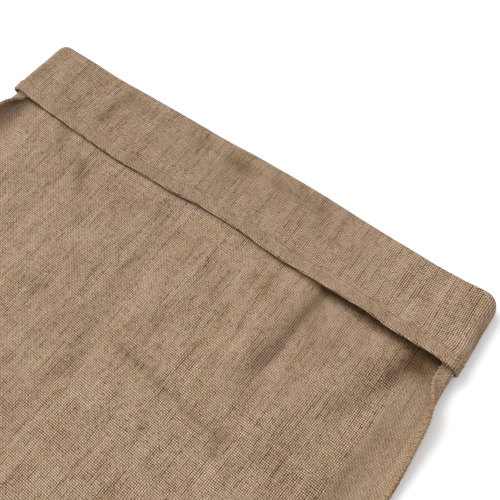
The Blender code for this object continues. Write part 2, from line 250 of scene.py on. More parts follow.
# The weave varies by fields of noise about 0, over the cloth counted in threads.
# changes per thread across, and along, layer of the noise, detail, roughness
LENGTHWISE_GAPS = (3.71, 0.045, 5.0, 2.0, 0.6)
CROSSWISE_GAPS = (0.22, 3.71, 6.0, 2.0, 0.6)
LENGTHWISE_SHADES = (0.9, 0.05, 7.0, 3.0, 0.65)
CROSSWISE_SHADES = (0.15, 2.9, 8.0, 2.0, 0.6)
PATCHES = (0.14, 0.026, 12.0, 3.0, 0.55)
LOOSENESS = (0.06, 0.03, 13.0, 2.0, 0.5)
HUES = (0.11, 0.045, 14.0, 2.0, 0.5)
GAP_GROUPS = (0.16, 0.035, 15.0, 2.0, 0.5)

# How the threads wander, in long waves and short ones: (field, reach in threads).
SWAYS_ACROSS = (((0.05, 0.022, 1.0, 1.0, 0.5), 2.0), ((0.30, 0.15, 2.0, 1.0, 0.5), 0.5))
SWAYS_ALONG = (((0.022, 0.05, 3.0, 1.0, 0.5), 2.0), ((0.15, 0.30, 4.0, 1.0, 0.5), 0.8))

# Widths of the threads, as shares of their spacing.
HALF_LENGTHWISE, HALF_CROSSWISE = 0.54, 0.525  # half the usual width
OWN_WIDTH = 0.12  # how much the threads differ among themselves
HOLE_NARROWS = 0.22
LOOSE_NARROWS = 0.25
LENGTHWISE_GAP_NARROWS, CROSSWISE_GAP_NARROWS = 0.14, 0.10
HOLE_RARITY = 5.0  # power that leaves few of the random numbers near 1
THREAD_SHIFT_U, THREAD_SHIFT_V, HOLE_SHIFT = 0.5, 900.5, 300.5  # keep the random draws apart
GROUPING = 0.35  # how strongly open lengthwise gaps come in groups

# Ranges over which one thing goes smoothly from 0 to 1.
LENGTHWISE_GAP_OPENS = (0.01, 0.20)  # by its noise
CROSSWISE_GAP_OPENS = (-0.02, 0.20)
LENGTHWISE_ON_TOP = (-0.1, 0.1)  # by how much higher the lengthwise thread is
GROOVE_SIDE = (0.22, 0.46)  # by the distance from a thread's middle line
THREAD_SHOWS = (0.10, 0.78)  # by the height of the thread on top
CROWN_LIGHTENS = (0.35, 1.0)
PINKER = (-0.2, 0.2)  # by its noise

CROWN, WAVE = 0.6, 0.4  # height of a thread, and how far it waves over and under
CROWN_BLEND = 0.15
GROOVE_DEPTH = 1.1  # of an open gap, as it shows in the threads that cross it: painted shade where they dip into it
CLOSE_FILLED, CLOSE_FILLING = 0.68, 0.8  # how filled close cloth is, and how fully it gets there
THREAD_RELIEF = 0.12 * MM

# Tone of a thread, 0 dark and 1 light: the usual one, and what each cause adds or takes. The crown's
# share paints light on a thread's top and shade on its flanks.
USUAL_TONE = 0.25
CROWN_TONE, SHADE_TONE, CROSSING_TONE, PATCH_TONE, TWIST_TONE = 0.44, 0.8, 0.2, 0.50, 0.12

# ---------------------------------------------------------------- colours

JUTE = (0.36, 0.245, 0.155)
LIGHT_THREAD = (0.590, 0.460, 0.341, 1)
PINKER_THREAD = (0.602, 0.450, 0.347, 1)
# A thread's darkest tone, and the gap between threads: darker jute, and painted shade on the flanks
# and in the gaps
DARK_THREAD = (0.182, 0.107, 0.050, 1)
DARK_GAP = (0.062, 0.023, 0.002, 1)
# colour that soiling and painted shade multiply the cloth's colour towards
STAIN_AND_SHADE_TINT = (0.20, 0.115, 0.02, 1)
JUTE_ROUGHNESS = 0.95

SEAM_TWINE = (0.50, 0.32, 0.16)
HEM_THREAD = (0.47, 0.35, 0.21)
TWINE_ROUGHNESS = 0.85
DARK_GRAIN = 0.55  # the twine's dark grain, as a share of its colour
GRAIN_SCALE, GRAIN_DETAIL = 900.0, 2.0
GRAIN_LIGHTENS = (0.3, 0.7)  # by its noise
GRAIN_RELIEF, GRAIN_STRENGTH = 0.3 * MM, 0.6

WHITE = (1.0, 1.0, 1.0, 1.0)
FLOOR = (0.93, 0.93, 0.93)
FLOOR_ROUGHNESS = 0.9

# ---------------------------------------------------------------- the sewing

TWINE_RADIUS = 0.42 * MM
HEM_THREAD_RADIUS = 0.5 * MM
TUBE_SIDES = 5
NEARLY_ALONG = 0.2  # sine of the angle below which two directions give no sound cross product

# Overcast stitches of the side and bottom seams, round the edges of the cloth.
OVERCAST_PITCH = 6.5 * MM
OVERCAST_DEPTH = 6.5 * MM  # from the cloth's edge
PITCH_VARIES, DEPTH_VARIES = (0.88, 1.12), (0.9, 1.1)
OVERCAST_LEAN = 0.42  # how far a stitch goes on along the edge, on either panel, in pitches
OVERCAST_OUT = 1.3 * MM  # its furthest point outside the cloth's edge
OVERCAST_SHARES = (1.0, 0.66, 0.33, 0.05)  # of the depth, where a stitch has points on a panel
OVERCAST_SUNK = 0.1 * MM  # the twine's middle below the cloth's face where it goes in
OVERCAST_RAISED = 0.95 * TWINE_RADIUS  # and above it elsewhere
SIDE_STARTS, SIDE_ENDS = 62 * MM, BOTTOM - 8 * MM  # d; the side seam's start is under the cuff
SIDE_SEED, BOTTOM_SEED, HEM_SEED = 5, 6, 8

# Running stitches of the hem, their lengths in millimetres.
HEM_STITCH, HEM_STITCH_GAP = (5.0, 7.5), (5.0, 9.0)
HEM_STITCH_IN = (2.2, 3.0)  # from the hem's cut edge
HEM_STITCH_SHARES = (0.0, 0.12, 0.35, 0.65, 0.88, 1.0)  # of its length, where a stitch has points
HEM_STITCH_SUNK = 0.2 * MM  # the thread's middle below the cloth's face at a stitch's ends
HEM_STITCH_BOW = 0.6 * MM  # and how much higher it is halfway
HEM_ROW_STARTS, HEM_ROW_ENDS = 3 * MM - HALF_BODY, HALF_BODY - 6 * MM

# ---------------------------------------------------------------- camera and light

CAMERA_AZIMUTH = math.radians(41.23)  # matched to the photo
CAMERA_ELEVATION = math.radians(62.67)
CAMERA_ROLL = math.radians(-4.4)
CAMERA_PLACE = Vector((0.2966, RIM_LINE_Y - 0.37447, 0.7257))
CAMERA_LENS, SENSOR = 57.02, 36.0  # millimetres

KEY_FROM = (-1.7, 0.4, 1.35)  # direction towards the key
KEY_SHARE = 0.55  # how bright the key alone makes a white floor
SKY_SHARE = 0.86  # and the sky alone
KEY_SOFTNESS = math.radians(44)
HALF_FLOOR = 4.0


def ease(share):
    """Smooth step from 0 to 1 as share goes from 0 to 1."""
    share = min(1.0, max(0.0, share))
    return share * share * (3 - 2 * share)


def read_table(rows, at):
    """Value at `at` of a table of (place, value) rows, on a smooth curve through the rows."""
    last = len(rows) - 1
    at = min(rows[last][0], max(rows[0][0], at))
    after = min(last, bisect.bisect_right([place for place, _ in rows], at))
    rises = [(high[1] - low[1]) / (high[0] - low[0]) for low, high in zip(rows, rows[1:])]

    def slope(row):
        # Flat at the ends and wherever the values turn, so that the curve never overshoots.
        before, beyond = rises[max(0, row - 1)], rises[min(last - 1, row)]
        turns = row in (0, last) or before * beyond <= 0
        return 0.0 if turns else 2 * before * beyond / (before + beyond)

    (low, first), (high, second) = rows[after - 1], rows[after]
    span = high - low
    share = (at - low) / span
    leave = slope(after - 1) * span * share * (1 - share) ** 2
    arrive = slope(after) * span * (share - 1) * share**2
    return first + (second - first) * ease(share) + leave + arrive


def folds_rise(folds, x, d):
    """Sum of the ridges and troughs of a fold table at a point, in metres."""
    total = 0.0
    for from_x, from_d, to_x, to_d, reach_left, reach_right, end_reach, rise in folds:
        line_x, line_d = to_x - from_x, to_d - from_d
        length = math.hypot(line_x, line_d)
        off_x, off_d = x / MM - from_x, d / MM - from_d
        along = (off_x * line_x + off_d * line_d) / length
        across = (off_x * line_d - off_d * line_x) / length
        beyond = max(-along, along - length, 0.0)
        reach = reach_right if across > 0 else reach_left
        total += rise * math.exp(-((across / reach) ** 2) - (beyond / end_reach) ** 2)
    return total * MM


def relief(x, d, height):
    """Small unevenness of the cloth at a point, read at a height in the noise."""
    total = 0.0
    for rise, wave_x, wave_d, shift in UNEVENNESS:
        total += rise * noise.noise(Vector((x / wave_x, d / wave_d, height + shift)))
    return total


# ---------------------------------------------------------------- shape of the body

def back_level(d):
    """Middle of the back panel: on the floor, and raised where the cuff lies under it."""
    raised = ease((BACK_RISES_AT - d) / BACK_RISES_OVER)
    return BACK_ON_FLOOR + (BACK_OVER_CUFF - BACK_ON_FLOOR) * raised


def half_body(d):
    """From the middle to the side seams."""
    return HALF_BODY_AT_RIM + (HALF_BODY - HALF_BODY_AT_RIM) * ease(d / BODY_NARROWS_AT)


def front_rise(x, d):
    """Height of the front panel above the sewn pair."""
    from_side = HALF_BODY - abs(x) - SHOULDER_FOOT
    shoulder = ease(from_side / SHOULDER)
    toe = ease((BOTTOM - LIP - d) / BOTTOM_SLOPE)
    changed = ease((LOFT_CHANGES_AT - d) / LOFT_CHANGES_OVER)
    loft = FRONT_LOFT + (FRONT_LOFT_AT_CUFF - FRONT_LOFT) * changed
    folded = loft + folds_rise(BODY_FOLDS, x, d) + relief(x, d, BODY_NOISE)
    return max(0.0, folded) * shoulder * toe


def body_point(side, x, d):
    """Middle of a panel between the side seams, x being its place in the cloth."""
    z = back_level(d)
    if side == FRONT:
        z += PAIR + front_rise(x, d)
    return Vector((x * half_body(d) / HALF_BODY, RIM_LINE_Y - d, z))


def lip_point(side, hand, s, d):
    """Middle of a panel in the lip, s beyond the seam. The lip leaves it flat and bends up."""
    turn = math.radians(max(LEAST_TURN, read_table(LIP_TURN[hand], d / MM)))
    bend = min(s, LIP_BEND) / LIP_BEND * turn
    radius = LIP_BEND / turn
    straight = max(0.0, s - LIP_BEND)
    apart = PAIR - (PAIR - STITCHED_PAIR) * ease((s - DRAWN_FROM) / DRAWN_OVER)
    out = radius * math.sin(bend) + straight * math.cos(bend)
    up = radius * (1 - math.cos(bend)) + straight * math.sin(bend)
    out -= side * apart / 2 * math.sin(bend)
    up += PAIR / 2 + side * apart / 2 * math.cos(bend)
    return Vector((hand * (half_body(d) + out), RIM_LINE_Y - d, back_level(d) + up))


# ---------------------------------------------------------------- shape of the cuff and hem

def cuff_x(x):
    """Place across the cuff that the cloth at body place x wraps to, flat parts only."""
    return math.copysign(min(abs(x) * CUFF_ARC / HALF_BODY, CUFF_FLAT), x)


def curl_turn(x):
    """Turn of the cuff's surface at cloth place x: 0 on the flat, a quarter turn at its side."""
    arc = abs(x) * CUFF_ARC / HALF_BODY
    return math.pi / 2 * max(0.0, (arc - CUFF_FLAT) / (CUFF_ARC - CUFF_FLAT))


def rim_d(x):
    """d of the fold over the rim at cloth place x, with the rounded corners."""
    out = min(HALF_CUFF_AT_RIM, abs(cuff_x(x)) + CURL * math.sin(curl_turn(x)))
    into_corner = min(CORNER, max(0.0, out - (HALF_CUFF_AT_RIM - CORNER)))
    recede = CORNER - math.sqrt(CORNER**2 - into_corner**2)
    return read_table(RIM, cuff_x(x) / MM) * MM + recede


def hem_d(x):
    """d of the cuff's lower edge at cloth place x."""
    wander = EDGE_WANDER * noise.noise(Vector((x / EDGE_WAVE, *EDGE_NOISE)))
    return read_table(HEM_LINE, cuff_x(x) / MM) * MM + wander


def cuff_frame(side, x, share):
    """(middle, outward normal) of the cuff at cloth place x, share of the way from rim to hem."""
    d = rim_d(x) + (hem_d(x) - rim_d(x)) * share
    half = HALF_CUFF_AT_RIM + (HALF_CUFF_AT_HEM - HALF_CUFF_AT_RIM) * ease(share)
    half -= HEM_TUCK * ease((share - TUCK_AT) / TUCK_OVER)
    turn = curl_turn(x)
    flat_x = cuff_x(x)
    if side == FRONT:
        level = CUFF_TOP + folds_rise(CUFF_FOLDS, flat_x, d) + relief(x, d, CUFF_NOISE) * CUFF_SHARE
    else:
        level = BACK_ON_FLOOR + HEM_SPACING * ease((share - BACK_HEM_AT) / BACK_HEM_OVER)
    # Near the rim the two edges stay one above the other, as the sewn pair does.
    edge_gap = EDGE_GAP + (PAIR - EDGE_GAP) * ease(1 - share / EDGES_PART)
    edge = CUFF_SIDE + side * edge_gap / 2
    drop = abs(level - edge)
    place = Vector(
        (
            CUFF_SHIFT + flat_x * (half - CURL) / CUFF_FLAT + math.copysign(CURL, x) * math.sin(turn),
            RIM_LINE_Y - d,
            edge + side * drop * math.cos(turn),
        )
    )
    out = Vector((math.copysign(math.sin(turn) / CURL, x), 0, side * math.cos(turn) / drop))
    return place, out.normalized()


def rim_point(side, x, turn):
    """The fold over the rim: turn 0 ends the body, and pi starts the cuff."""
    body = body_point(side, x, rim_d(x))
    cuff, _ = cuff_frame(side, x, 0.0)
    half = (body - cuff) / 2
    fall = Vector((0, RIM_BEND * (math.sin(turn) - 1), 0))
    return (body + cuff) / 2 + half * math.cos(turn) + fall


def hem_point(side, x, turn, back):
    """The hem: it turns outwards round the cuff's edge, then runs `back` towards the rim."""
    length = hem_d(x) - rim_d(x)
    place, out = cuff_frame(side, x, 1 - back / length)
    place += out * HEM_SPACING / 2 * (1 - math.cos(turn))
    place.y -= HEM_SPACING / 2 * math.sin(turn)
    return place


# ---------------------------------------------------------------- soiling, painted shade and closeness

def spots_strength(spot_table, x, d):
    """Sum of the soft spots of a table at a point. The cuff's are soiling, the body's mostly painted
    shade.
    """
    total = 0.0
    for from_x, from_d, to_x, to_d, reach, strength in spot_table:
        line_x, line_d = to_x - from_x, to_d - from_d
        off_x, off_d = x / MM - from_x, d / MM - from_d
        share = (off_x * line_x + off_d * line_d) / (line_x**2 + line_d**2)
        share = min(1.0, max(0.0, share))
        away = math.hypot(off_x - share * line_x, off_d - share * line_d)
        total += strength * math.exp(-((away / reach) ** 2))
    return total


def painted_foot_shade(x, d):
    """Painted shadow on the body along the foot of the cuff. It reaches further down at the right."""
    below_hem = d / MM - read_table(HEM_LINE, x / MM)
    reach = EDGE_REACH + EDGE_REACH_ADDED * ease((x / MM - EDGE_WIDENS_FROM) / EDGE_WIDENS_OVER)
    return CUFF_EDGE_SHADE * math.exp(-((below_hem / reach) ** 2))


def stain_and_shade_at(row, x, d):
    """How far the front panel is darkened at a point of a row, by soiling and by painted shade, 0 to
    1.
    """
    kind, value = row
    if kind == "body":
        total = spots_strength(BODY_SHADE_AND_STAINS, x, d) + painted_foot_shade(x, d)
    else:
        total = spots_strength(CUFF_STAINS, x, d)
    if kind == "hem":  # painted shade where the hem starts to turn, as it faces the body
        total += CUFF_EDGE_SHADE * ease(1.0 - value)
    return min(MOST_STAIN_AND_SHADE, total)


def closeness_at(kind, hand, x):
    """How closely woven the cloth is, 0 to 1: it is closer along its side edges and in its hem."""
    if hand:
        return 1.0
    if kind == "body":
        return ease((abs(x) - SELVEDGE) / SELVEDGE_BLEND)
    return HEM_CLOSENESS if kind == "hem back" else 0.0


# ---------------------------------------------------------------- the panels' fine grids

def spread(stops):
    """Places from stop to stop. stops: ((place, spacing), ...), the spacing holding to the next."""
    places = []
    for (start, spacing), (end, _) in zip(stops, stops[1:]):
        count = max(1, round((end - start) / spacing))
        places += [start + (end - start) * k / count for k in range(count)]
    return [*places, stops[-1][0]]


def columns_of(spacing):
    """Columns as (hand, place): hand 0 is cloth between the seams, LEFT or RIGHT a lip."""
    edge = HALF_BODY / MM
    half = spread(((0, spacing), (edge - SEAM_STRIP, SEAM_SPACING), (edge, 0)))
    middle = [-x * MM for x in reversed(half[1:])] + [x * MM for x in half]
    lips = [s * MM for s in spread(LIP_STOPS)[1:]]
    left = [(LEFT, s) for s in reversed(lips)]
    return left + [(0, x) for x in middle] + [(RIGHT, s) for s in lips]


def rows_of(spacing):
    """Rows from the bottom edge to the hem's end, as (kind, value)."""
    bottom = BOTTOM / MM
    lower_stops = (
        (EVEN_ROWS_FROM, spacing), (bottom - BOTTOM_STRIP, BOTTOM_ROW_SPACING), (bottom, 0),
    )
    rows = [("body", d * MM) for d in reversed(spread(UPPER_ROW_STOPS + lower_stops))]
    rows += [("rim", math.pi * step / RIM_STEPS) for step in range(RIM_STEPS + 1)]
    rows += [("cuff", step / CUFF_STEPS) for step in range(1, CUFF_STEPS + 1)]
    rows += [("hem", math.pi * step / HEM_STEPS) for step in range(1, HEM_STEPS + 1)]
    rows += [("hem back", HEM * step / HEM_BACK_STEPS) for step in range(1, HEM_BACK_STEPS + 1)]
    return rows


def sheet_point(side, column, row):
    """(place, distance along the cloth from its bottom edge) at a crossing of column and row."""
    hand, place = column
    kind, value = row
    x = hand * HALF_BODY or place
    rim = rim_d(x)
    if kind == "body":
        d = value + (rim + RIM_BEND) * ease(1 - value / RIM_FOLLOWED)
        point = lip_point(side, hand, place, d) if hand else body_point(side, x, d)
        return point, BOTTOM - d
    if kind == "rim":
        return rim_point(side, x, value), BOTTOM - rim + RIM_BEND * (value - 1)
    past_rim = BOTTOM - rim + RIM_BEND * (math.pi - 2)
    cuff = hem_d(x) - rim
    if kind == "cuff":
        return cuff_frame(side, x, value)[0], past_rim + cuff * value
    if kind == "hem":
        return hem_point(side, x, value, 0.0), past_rim + cuff + value * HEM_SPACING / 2
    return hem_point(side, x, math.pi, value), past_rim + cuff + math.pi * HEM_SPACING / 2 + value


def has_lip(row):
    """Whether a row runs on into the lips outside the seams."""
    kind, value = row
    return kind == "body" and value > LIP_STARTS


def middle_mesh(name, side, columns, rows):
    """The middle of a panel's cloth, with its place on the flat cloth, its soiling and painted shade,
    and closeness.
    """
    places, flat, soiled_and_shaded, close, index = [], [], [], [], {}
    for r, row in enumerate(rows):
        for c, column in enumerate(columns):
            hand, place = column
            if hand and not has_lip(row):
                continue
            point, along = sheet_point(side, column, row)
            index[r, c] = len(places)
            places.append(point)
            flat.append((hand * HALF_BODY + (hand or 1) * place, along))
            # how far soiling and painted shade darken the front panel here
            soiled_and_shaded.append(stain_and_shade_at(row, point.x, RIM_LINE_Y - point.y) if side == FRONT else 0.0)
            close.append(closeness_at(row[0], hand, place))
    faces = []
    for r in range(len(rows) - 1):
        for c in range(len(columns) - 1):
            ring = [index.get(at) for at in ((r, c), (r, c + 1), (r + 1, c + 1), (r + 1, c))]
            if None not in ring:
                faces.append(ring if side == FRONT else ring[::-1])
    middle = bpy.data.meshes.new(name)
    middle.from_pydata(places, [], faces)
    cloth_map = middle.uv_layers.new(name=CLOTH_MAP)
    for loop in middle.loops:
        cloth_map.data[loop.index].uv = flat[loop.vertex_index]
    middle.attributes.new(STAIN_AND_SHADE, "FLOAT", "POINT").data.foreach_set("value", soiled_and_shaded)
    middle.attributes.new(CLOSE, "FLOAT", "POINT").data.foreach_set("value", close)
    return middle


def lay_out(sheet, face_count):
    """Gives what shows of either face of the cloth the wide part of BAKE_MAP, and the rest a strip.

    The body shows the cloth's outer face and the cuff its inner face. The sheet's faces are
    face_count outer ones, then as many inner ones, and last those of its edges.
    """
    bake = sheet.uv_layers.new(name=BAKE_MAP)
    cloth = sheet.uv_layers[CLOTH_MAP]
    for face in sheet.polygons:
        along = sum(cloth.data[at].uv.y for at in face.loop_indices) / face.loop_total
        outer = face.index < face_count
        seen = outer == (along < TURNED_OUT) and face.index < 2 * face_count
        start, width = SEEN_PART if seen else UNSEEN_PART
        for at in face.loop_indices:
            across, up = cloth.data[at].uv
            share = across / CLOTH_WIDTH + 0.5
            bake.data[at].uv = (start + width * share, MAP_MARGIN + MAP_HEIGHT * up / MAP_LENGTH)


def link_object(name, data):
    made = bpy.data.objects.new(name, data)
    bpy.context.scene.collection.objects.link(made)
    return made


def panel(name, side, columns, rows, material):
    """A panel as a fine sheet with the thickness of its cloth."""
    middle = middle_mesh(name, side, columns, rows)
    face_count = len(middle.polygons)
    made = link_object(name, middle)
    solid = made.modifiers.new("Cloth thickness", "SOLIDIFY")
    solid.thickness = CLOTH
    solid.offset = 0.0
    ready = made.evaluated_get(bpy.context.evaluated_depsgraph_get())
    sheet = bpy.data.meshes.new_from_object(ready)
    made.modifiers.clear()
    made.data = sheet
    bpy.data.meshes.remove(middle)
    sheet.name = name
    sheet.materials.append(material)
    sheet.shade_smooth()
    lay_out(sheet, face_count)
    return made


# ---------------------------------------------------------------- materials

class Nodes:
    """Short forms for the nodes of one material."""

    def __init__(self, material):
        self.tree = material.node_tree
        self.shader = self.tree.nodes["Principled BSDF"]

    def put(self, socket, value):
        """Sets an input, or links it where the value is an output."""
        if isinstance(value, bpy.types.NodeSocket):
            self.tree.links.new(value, socket)
        else:
            socket.default_value = value

    def make(self, kind, output, inputs=(), **settings):
        """An output of a new node. inputs are (name or number, value) pairs."""
        node = self.tree.nodes.new(kind)
        for name, value in settings.items():
            setattr(node, name, value)
        for name, value in inputs:
            self.put(node.inputs[name], value)
        return node.outputs[output]

    def math(self, operation, *values):
        return self.make("ShaderNodeMath", 0, enumerate(values), operation=operation)

    def add(self, a, b):
        return self.math("ADD", a, b)

    def less(self, a, b):
        return self.math("SUBTRACT", a, b)

    def times(self, a, b):
        return self.math("MULTIPLY", a, b)

    def scaled(self, value, low, high):
        """Smooth step from 0 to 1 as value goes from low to high."""
        inputs = (("Value", value), ("From Min", low), ("From Max", high))
        return self.make("ShaderNodeMapRange", "Result", inputs, interpolation_type="SMOOTHSTEP")

    def vector(self, x, y, z=0.0):
        return self.make("ShaderNodeCombineXYZ", 0, enumerate((x, y, z)))

    def noise(self, vector, scale, detail, rough=0.5):
        inputs = (("Vector", vector), ("Scale", scale), ("Detail", detail), ("Roughness", rough))
        return self.make("ShaderNodeTexNoise", "Fac", inputs)

    def random(self, value):
        """A random number from 0 to 1 for each value."""
        inputs = (("W", value),)
        return self.make("ShaderNodeTexWhiteNoise", "Value", inputs, noise_dimensions="1D")

    def random_at(self, x, y):
        """A random number from 0 to 1 for each pair of values."""
        inputs = (("Vector", self.vector(x, y)),)
        return self.make("ShaderNodeTexWhiteNoise", "Value", inputs, noise_dimensions="2D")

    def chosen(self, share, first, second):
        """A number that goes from first to second with share."""
        inputs = (("Factor", share), ("A", first), ("B", second))
        return self.make("ShaderNodeMix", "Result", inputs)

    def mixed(self, share, first, second, blend="MIX"):
        """A colour that goes from first to second with share."""
        inputs = (("Factor", share), ("A", first), ("B", second))
        return self.make("ShaderNodeMix", "Result", inputs, data_type="RGBA", blend_type=blend)

    def attribute(self, name):
        return self.make("ShaderNodeAttribute", "Fac", attribute_name=name)

    def bump(self, height, distance, strength=1.0):
        inputs = (("Height", height), ("Distance", distance), ("Strength", strength))
        return self.make("ShaderNodeBump", "Normal", inputs)


class Weave:
    """The threads at a point of the cloth.

    Places are counted in threads: u across the cloth, from one lengthwise thread to the next, and
    v along it, from one crosswise thread to the next.
    """

    def __init__(self, nodes):
        n = self.nodes = nodes
        self.across, self.along = self.on_flat_cloth()
        self.u = self.swayed(self.across, SWAYS_ACROSS)
        self.v = self.swayed(self.along, SWAYS_ALONG)
        # Numbers of the threads here and of the nearest gaps, and places off the threads' middles.
        self.thread_u, self.thread_v = n.math("FLOOR", self.u), n.math("FLOOR", self.v)
        self.gap_u, self.gap_v = n.math("ROUND", self.u), n.math("ROUND", self.v)
        self.from_u = n.less(n.less(self.u, self.thread_u), 0.5)
        self.from_v = n.less(n.less(self.v, self.thread_v), 0.5)
        self.open_u, self.open_v = self.gaps()
        self.height, self.lengthwise = self.top_thread()

    def on_flat_cloth(self):
        """(across, along) on the flat cloth, counted in threads."""
        n = self.nodes
        layout = n.make("ShaderNodeUVMap", "UV", uv_map=CLOTH_MAP)
        places = (n.make("ShaderNodeSeparateXYZ", way, ((0, layout),)) for way in ("X", "Y"))
        return [n.times(place, 1 / THREAD) for place in places]

    def field(self, kind, across=None, along=None):
        """Noise about 0 of one of the kinds named above, on the flat cloth or at a place."""
        n = self.nodes
        per_across, per_along, layer, detail, rough = kind
        x = n.times(self.across if across is None else across, per_across)
        y = n.times(self.along if along is None else along, per_along)
        return n.less(n.noise(n.vector(x, y, layer), 1.0, detail, rough), 0.5)

    def swayed(self, place, sways):
        """A place among threads that wander a little, in long waves and short ones."""
        n = self.nodes
        long, short = (n.times(self.field(kind), reach) for kind, reach in sways)
        return n.add(place, n.add(long, short))

    def gaps(self):
        """How open the nearest lengthwise and crosswise gaps are, 0 to 1.

        Between two threads the gap opens for a stretch and closes. Lengthwise ones open in groups.
        """
        n = self.nodes
        grouped = n.times(self.field(GAP_GROUPS), GROUPING)
        lengthwise = n.add(self.field(LENGTHWISE_GAPS, self.gap_u, self.v), grouped)
        crosswise = self.field(CROSSWISE_GAPS, self.u, self.gap_v)
        return (
            n.scaled(lengthwise, *LENGTHWISE_GAP_OPENS),
            n.scaled(crosswise, *CROSSWISE_GAP_OPENS),
        )

    def half_widths(self):
        """Half the width of the lengthwise and the crosswise thread."""
        n = self.nodes
        own_u = n.random(n.add(self.thread_u, THREAD_SHIFT_U))
        own_v = n.random(n.add(self.thread_v, THREAD_SHIFT_V))
        hole = n.math("POWER", n.random_at(n.add(self.gap_u, HOLE_SHIFT), self.gap_v), HOLE_RARITY)
        loose = self.field(LOOSENESS)
        halves = []
        for usual, own, opening, gap_narrows in (
            (HALF_LENGTHWISE, own_u, self.open_u, LENGTHWISE_GAP_NARROWS),
            (HALF_CROSSWISE, own_v, self.open_v, CROSSWISE_GAP_NARROWS),
        ):
            half = n.add(usual, n.times(n.less(own, 0.5), OWN_WIDTH))
            half = n.less(half, n.times(hole, HOLE_NARROWS))
            half = n.less(half, n.times(loose, LOOSE_NARROWS))
            halves.append(n.less(half, n.times(opening, gap_narrows)))
        return halves

    def crown(self, offset, half):
        """Rounded section of a thread, 1 on its middle line and 0 at its edges."""
        n = self.nodes
        share = n.math("MINIMUM", n.math("DIVIDE", n.math("ABSOLUTE", offset), half), 1.0)
        return n.math("COSINE", n.times(share, math.pi / 2))

    def top_thread(self):
        """(height of the threads' surface, how far the lengthwise thread is on top), each 0 to 1.

        Each thread waves over and under the ones that it crosses.
        """
        n = self.nodes
        half_u, half_v = self.half_widths()
        wave_u = n.math("SINE", n.times(n.add(self.v, self.thread_u), math.pi))
        wave_v = n.math("SINE", n.times(n.add(self.u, self.thread_v), math.pi))
        rise_u = n.times(self.crown(self.from_u, half_u), n.add(CROWN, n.times(wave_u, WAVE)))
        rise_v = n.times(self.crown(self.from_v, half_v), n.less(CROWN, n.times(wave_v, WAVE)))
        height = n.math("SMOOTH_MAX", rise_u, rise_v, CROWN_BLEND)
        return height, n.scaled(n.less(rise_u, rise_v), *LENGTHWISE_ON_TOP)

    def tone(self):
        """Tone by the crown, painted light and shade, from thread to thread and along it, by crossing,
        patch and twist.
        """
        n = self.nodes
        crown = n.scaled(self.height, *CROWN_LIGHTENS)
        shades = self.field(CROSSWISE_SHADES), self.field(LENGTHWISE_SHADES)
        crossing = n.less(n.random_at(self.thread_u, self.thread_v), 0.5)
        twist = n.math("COSINE", n.times(n.add(self.u, self.v), math.pi))
        tone = n.times(crown, CROWN_TONE)
        tone = n.add(tone, n.times(n.chosen(self.lengthwise, *shades), SHADE_TONE))
        tone = n.add(tone, n.times(crossing, CROSSING_TONE))
        rest = n.add(n.times(self.field(PATCHES), PATCH_TONE), n.times(twist, TWIST_TONE))
        return n.add(n.add(tone, USUAL_TONE), rest)

    def filled(self):
        """How far thread is seen and not the gap beside it, 0 to 1; the gap's dark and an open gap's
        groove are painted shade. Close cloth evens this out.
        """
        n = self.nodes
        groove = n.times(self.open_u, n.scaled(n.math("ABSOLUTE", self.from_u), *GROOVE_SIDE))
        filled = n.scaled(self.height, *THREAD_SHOWS)
        filled = n.times(filled, n.less(1.0, n.times(groove, GROOVE_DEPTH)))
        filling = n.times(n.attribute(CLOSE), CLOSE_FILLING)
        return n.add(filled, n.times(filling, n.less(CLOSE_FILLED, filled)))


def new_material(name, colour, roughness):
    """(material, its Nodes) of a matt material."""
    material = bpy.data.materials.new(name)
    material.use_nodes = True
    nodes = Nodes(material)
    nodes.shader.inputs["Base Color"].default_value = (*colour, 1.0)
    nodes.shader.inputs["Roughness"].default_value = roughness
    nodes.shader.inputs["Specular IOR Level"].default_value = 0.0
    return material, nodes


def woven_jute():
    """Plain weave of uneven jute threads, worked out from each point's place on the flat cloth."""
    material, n = new_material("woven_jute", JUTE, JUTE_ROUGHNESS)
    weave = Weave(n)
    light = n.mixed(n.scaled(weave.field(HUES), *PINKER), LIGHT_THREAD, PINKER_THREAD)
    # the threads' flanks and the gaps between them carry painted shade, besides the jute's own tones
    thread = n.mixed(weave.tone(), DARK_THREAD, light)
    clean = n.mixed(weave.filled(), DARK_GAP, thread)
    # soiling, and painted shade in creases, troughs, the pocket and under the cuff's edge, darken the
    # cloth
    stained_and_shaded = n.mixed(n.attribute(STAIN_AND_SHADE), clean, STAIN_AND_SHADE_TINT, "MULTIPLY")
    n.put(n.shader.inputs["Base Color"], stained_and_shaded)
    n.put(n.shader.inputs["Normal"], n.bump(weave.height, THREAD_RELIEF))
    return material


def twine(name, colour):
    """Twisted stitching twine."""
    material, n = new_material(name, colour, TWINE_ROUGHNESS)
    place = n.make("ShaderNodeTexCoord", "Object")
    grain = n.noise(place, GRAIN_SCALE, GRAIN_DETAIL)
    dark = (*(DARK_GRAIN * part for part in colour), 1)
    n.put(n.shader.inputs["Base Color"], n.mixed(n.scaled(grain, *GRAIN_LIGHTENS), dark, (*colour, 1)))
    n.put(n.shader.inputs["Normal"], n.bump(grain, GRAIN_RELIEF, GRAIN_STRENGTH))
    return material


# ---------------------------------------------------------------- stitches

